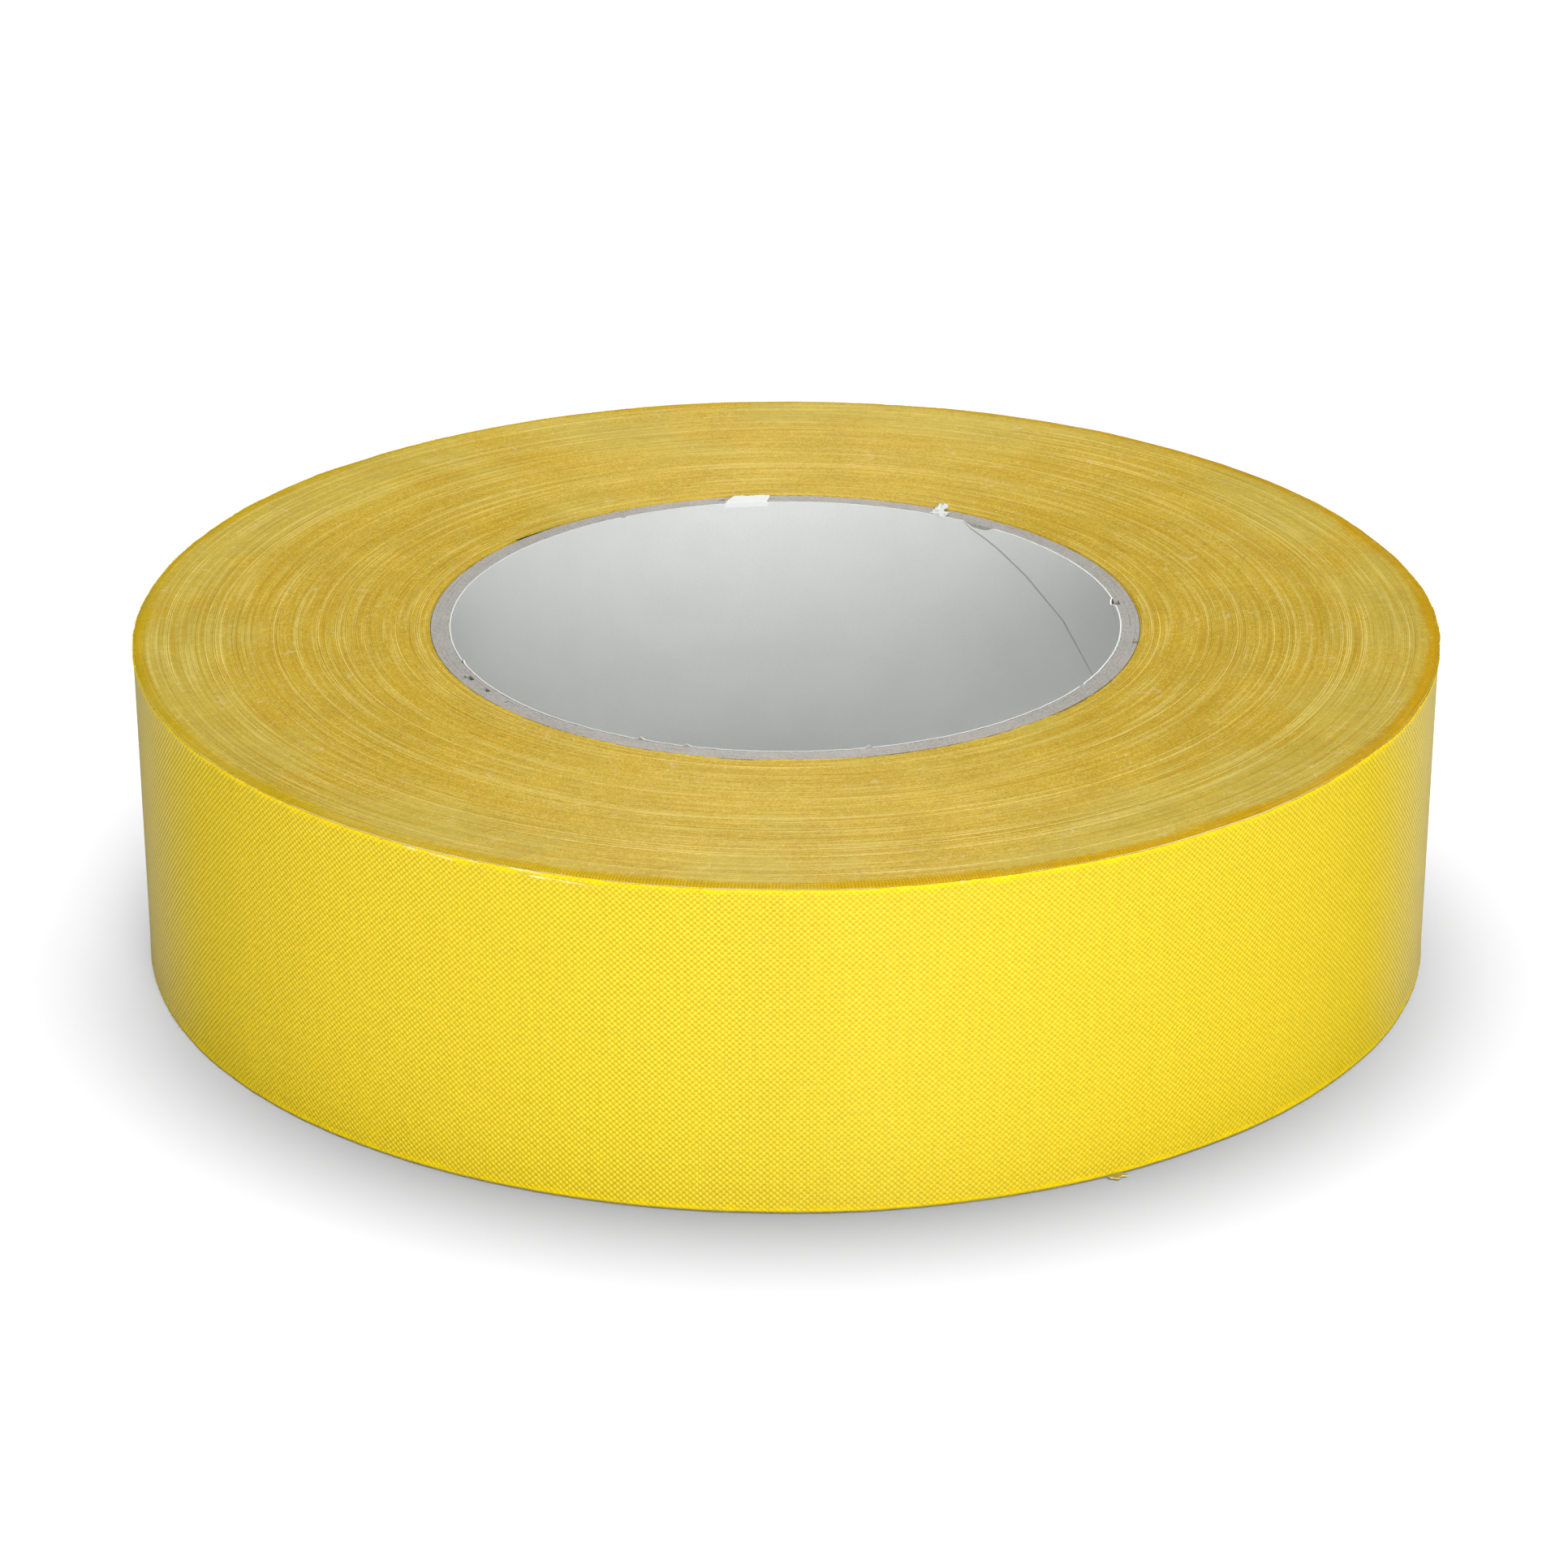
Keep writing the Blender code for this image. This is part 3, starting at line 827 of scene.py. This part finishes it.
def turn_edges(name, first_turn, last_turn, upper, wall_depth):
    """The slit edges of a run of turns on one side: a rounded ridge for each turn, with a valley
    between neighbours. Its last turn also gets the wall below the rim, as its first one does."""
    rows = round((last_turn - first_turn) * PER_TURN)
    count = rows + PER_TURN + 1
    along = TURN * (first_turn + np.arange(count) / PER_TURN)
    radius = winding_radius(along)
    tone = edge_tone(along, radius)
    seed = 91 if upper else 191
    lift = edge_height(along, radius, tone, seed)
    valley_depth = 0.055 * MM * (1 + 0.4 * drift(along, 0.31, seed + 5))
    levels = [(0.0, -valley_depth), (0.30, 0.0), (0.66, 0.0)]
    ridges = []
    for share, depth in levels:
        out = radius + share * TAPE_THICKNESS
        rise = lift + depth
        if upper:
            level = WIDTH + rise
        else:
            level = np.maximum(0.16 * MM - rise, 0.005 * MM)
        ridges.append(wound(along, out, level))
    valley, near_side, far_side = ridges
    numbers = np.arange(3 * count).reshape(3, count)
    lower_row, upper_row = numbers[:, :rows], numbers[:, 1 : rows + 1]
    next_low, next_high = numbers[0, PER_TURN : PER_TURN + rows], numbers[0, PER_TURN + 1 :]
    faces = [
        quads(lower_row[0], lower_row[1], upper_row[1], upper_row[0]),
        quads(lower_row[1], lower_row[2], upper_row[2], upper_row[1]),
        quads(lower_row[2], next_low, next_high, upper_row[2]),
    ]
    points = np.concatenate([valley, near_side, far_side])
    walls = []
    if wall_depth:
        inner = numbers[0, : PER_TURN + 1]
        outer = numbers[0, rows : rows + PER_TURN + 1]
        for line, outwards in ((inner, False), (outer, True)):
            sunk = points[line].copy()
            clear = (0.15 if outwards else -0.05) * MM
            sunk[:, :2] *= 1 - clear / np.linalg.norm(sunk[:, :2], axis=1, keepdims=True)
            sunk[:, 2] += -wall_depth if upper else wall_depth
            sunk_numbers = len(points) + np.arange(len(line))
            points = np.concatenate([points, sunk])
            wall = quads(line[:-1], line[1:], sunk_numbers[1:], sunk_numbers[:-1])
            walls.append(wall[:, ::-1] if outwards else wall)
    faces = np.concatenate(faces + walls)
    used = np.unique(faces)
    renumber = np.zeros(len(points), int)
    renumber[used] = np.arange(len(used))
    crown = np.zeros(len(points))
    crown[count : 3 * count] = 1
    tones = np.zeros(len(points))
    tones[: 3 * count] = np.tile(tone, 3)
    faces = renumber[faces]
    if not upper:
        faces = faces[:, ::-1]
    attributes = {"crown": crown[used], "tone": tones[used]}
    made = piece(name, points[used], faces, [CUT_EDGES], attributes=attributes, sharp=80)
    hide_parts("wound_turns")
    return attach(made, "roll")


def build_turn_edges():
    last = (PEEL_LINE - TURN) / TURN
    turn_edges("turn_edges_upper", 1, last, True, 1.5 * MM)
    turn_edges("turn_edges_lower", 1, last, False, WIDTH - 1.6 * MM)


# Loose fibres.


def side_fibres(name, count, seed):
    """Short curly fibres that lie on the upper side."""
    random = np.random.default_rng(seed)
    area = random.uniform(0, 1, count)
    inner = START_RADIUS + 0.5 * MM
    outer = OUTER_RADIUS - 0.4 * MM
    radius = np.sqrt(inner**2 + area * (outer**2 - inner**2))
    angle = random.uniform(0, TURN, count)
    heading = angle + pi / 2 + random.normal(0, 0.8, count) + pi * random.integers(0, 2, count)
    level = WIDTH + random.uniform(0.0, 0.06, count) * MM
    roots = placed(angle, radius, level)
    rise = random.uniform(-0.03, 0.22, count)
    ways = np.stack([np.cos(heading), np.sin(heading), rise], -1)
    bends = random.normal(0, 1, (count, 3)) * random.uniform(0.5, 2.6, count)[:, None]
    bends[:, 2] = -np.abs(bends[:, 2]) * 0.35
    lengths = random.gamma(3.0, 0.35, count) * MM
    size = random.uniform(0.006, 0.014, count) * MM
    made = threads(name, roots, ways, bends, lengths, size, YELLOW_FIBRE)
    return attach(made, "roll")


def rim_fibres(name, count, upper, seed):
    """Yarn ends and fuzz that stand out of the slit rims of the outermost turns."""
    random = np.random.default_rng(seed)
    angle = random.uniform(0, TURN, count)
    radius = OUTER_RADIUS - random.gamma(1.5, 0.18, count) * MM
    level = WIDTH - 0.10 * MM if upper else np.full(count, 0.12 * MM)
    roots = wound(angle - START_ANGLE, radius, level)
    roots[:, 2] -= np.where(upper, 1, 0) * corner_drop(angle - START_ANGLE, radius)
    outwards = random.uniform(0.1, 1.3, count)
    sideways = random.normal(0, 0.5, count)
    rise = random.uniform(0.1, 0.9, count) if upper else random.uniform(-0.02, 0.25, count)
    ways = np.stack([
        outwards * np.cos(angle) - sideways * np.sin(angle),
        outwards * np.sin(angle) + sideways * np.cos(angle),
        rise,
    ], -1)
    bends = random.normal(0, 0.9, (count, 3))
    lengths = random.gamma(2.2, 0.055, count) * MM * np.where(random.uniform(0, 1, count) < 0.03, 4, 1)
    size = random.uniform(0.010, 0.022, count) * MM
    made = threads(name, roots, ways, bends, lengths, size, YELLOW_FIBRE, 3)
    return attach(made, "roll")


def core_fibres(name, count, seed):
    """Paper fuzz round the bore and on the board's cut rim."""
    random = np.random.default_rng(seed)
    angle = random.uniform(0, TURN, count)
    board = radii("core_ply_4")[1]
    radius = BORE_RADIUS + (board - BORE_RADIUS) * random.uniform(0, 1, count) ** 1.8
    roots = placed(angle, radius, WIDTH - 0.10 * MM)
    ways = random.normal(0, 0.6, (count, 3))
    ways[:, 2] = random.uniform(0.2, 1.0, count)
    bends = random.normal(0, 1.2, (count, 3))
    lengths = random.gamma(2.0, 0.14, count) * MM
    size = random.uniform(0.008, 0.02, count) * MM
    made = threads(name, roots, ways, bends, lengths, size, PAPER_FIBRE, 4)
    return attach(made, "roll")


FRAYS = [  # pale slivers along the upper rim: start and end angle in degrees, drop below the rim
    (237.3, 238.9, 0.35 * MM),
    (239.8, 242.4, 0.42 * MM),
    (243.4, 244.6, 0.15 * MM),
    (247.2, 250.1, 0.12 * MM),
    (248.0, 254.6, 0.80 * MM),
    (284.0, 284.7, 0.10 * MM),
]


def build_frays():
    """Yarns that have come away from the cloth's slit edge and lie along it."""
    for number, (start, end, drop) in enumerate(FRAYS, 1):
        rows, columns = 5, 41
        part = np.linspace(0, 1, columns)[None, :]
        across = np.linspace(-1, 1, rows)[:, None]
        angle = radians(start) + radians(end - start) * part
        full = np.sin(pi * np.clip(part * 0.96 + 0.02, 0, 1)) ** 0.5
        width = 0.10 * MM * full * (1 + 0.5 * drift(part, 0.06, 301 + number))
        sag = drop * (0.6 + 0.4 * part) + 0.05 * MM * drift(part, 0.13, 321 + number)
        height = WIDTH - 0.1 * MM - sag + across * width
        rounding = 0.05 * MM * (1 - across * across) + 0.10 * MM
        along = angle - START_ANGLE
        outside = wound(along, OUTER_RADIUS + rounding, height)
        inside = wound(along, OUTER_RADIUS + rounding - 0.05 * MM * full, height)
        made = slab(f"frayed_yarn_{number}", outside, inside, [CREAM_FIBRE] * 3)
        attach(made, "roll")


def build_lower_scrap():
    """A bit of tape that sticks out from under the roll at the front."""
    rows, columns = 9, 17
    out = np.linspace(0, 1, rows)[:, None]
    part = np.linspace(0, 1, columns)[None, :]
    angle = radians(297.9) + radians(1.5) * part + radians(0.15) * drift(out, 0.3, 331)
    reach = 1.6 * MM * (0.75 + 0.25 * drift(part, 0.35, 332))
    radius = OUTER_RADIUS - 1.2 * MM + (0.7 * MM + reach) * out
    top = 0.20 * MM + 0.12 * MM * out * out + 0.02 * MM * drift(part + out, 0.2, 333)
    over = placed(angle, radius, top)
    under = placed(angle, radius, top - 0.14 * MM)
    made = slab("loose_scrap", under, over, [CREAM_FIBRE] * 3)
    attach(made, "roll")


def build_fibres():
    side_fibres("side_fibres", 2200, 211)
    rim_fibres("rim_fibres_upper", 5200, True, 221)
    rim_fibres("rim_fibres_lower", 3000, False, 231)
    core_fibres("core_fibres", 420, 241)


# The ground, the lights and the camera.

YELLOW_PIECES = ("outer_", "free_", "turn_edges", "first_", "rim_fibres", "frayed", "loose")
CAMERA_LENS = 143.9
CAMERA_DISTANCE = 721.7 * MM
CAMERA_ELEVATION = radians(23.32)
AIM = Vector((-0.14 * MM, -0.46 * MM, 17.94 * MM))


def build_ground():
    mesh = bpy.data.meshes.new("ground")
    reach = 6.0
    mesh.from_pydata([(-reach, -reach, 0), (reach, -reach, 0), (reach, reach, 0),
                      (-reach, reach, 0)], [], [(0, 1, 2, 3)])
    ground = bpy.data.objects.new("ground", mesh)
    bpy.context.scene.collection.objects.link(ground)
    s = Shader("white_ground", 0.9, Specular_IOR_Level=0.1)
    soft = s.grain(s.place(), 0.4, 1.0)
    mesh.materials.append(s.finish(s.mix(soft, (0.93, 0.93, 0.93), (0.95, 0.95, 0.95))))
    ground.visible_glossy = False


def add_sun(name, azimuth, elevation, strength, spread, colour=(1, 1, 1)):
    """Soft light from a direction. strength is the white that it gives a face turned to it.
    Only rays towards the light find it, so that it doesn't shine through the yellow pieces, which
    the bounced rays pass."""
    light = bpy.data.lights.new(name, "SUN")
    light.energy = strength * pi
    light.angle = radians(spread)
    light.color = colour
    light.cycles.use_multiple_importance_sampling = False
    sun = bpy.data.objects.new(name, light)
    bpy.context.scene.collection.objects.link(sun)
    a, e = radians(azimuth), radians(elevation)
    towards = Vector((cos(e) * sin(a), -cos(e) * cos(a), sin(e)))
    sun.rotation_euler = towards.to_track_quat("Z", "Y").to_euler()


def build_lights():
    """Two broad lights from behind and above, a low one from the front and a weak one from the
    right. The world only shows white above the ground."""
    add_sun("rear_left_light", -130, 69, 0.59, 58)
    add_sun("rear_right_light", 130, 69, 0.60, 58)
    add_sun("front_light", 10, 9, 1.05, 34)
    add_sun("right_fill", 75, 12, 0.06, 80)
    world = bpy.data.worlds.new("studio")
    bpy.context.scene.world = world
    world.use_nodes = True
    background = world.node_tree.nodes["Background"]
    background.inputs["Color"].default_value = (1, 1, 1, 1)
    background.inputs["Strength"].default_value = 1.0
    world.cycles_visibility.diffuse = False
    world.cycles_visibility.glossy = False
    bpy.context.scene.view_settings.view_transform = "Standard"


def quiet_bounce():
    """Keeps the cloth's yellow off the white ground, which is neutral right up to the roll."""
    for made in bpy.data.objects:
        if made.type == "MESH" and made.name.startswith(YELLOW_PIECES):
            made.visible_diffuse = False


def build_camera():
    """In front of the roll and above it, aimed a little off its centre."""
    data = bpy.data.cameras.new("camera")
    data.lens = CAMERA_LENS
    data.clip_start = 0.05
    data.clip_end = 30
    camera = bpy.data.objects.new("camera", data)
    bpy.context.scene.collection.objects.link(camera)
    back = Vector((0, -cos(CAMERA_ELEVATION), sin(CAMERA_ELEVATION)))
    camera.location = AIM + back * CAMERA_DISTANCE
    camera.rotation_euler = back.to_track_quat("Z", "Y").to_euler()
    bpy.context.scene.camera = camera


build_camera()
build_ground()
build_lights()
build_core()
build_paper_scraps()
build_first_turn()
build_turn_edges()
build_outer_turn()
build_free_end()
build_fibres()
build_frays()
build_lower_scrap()
quiet_bounce()
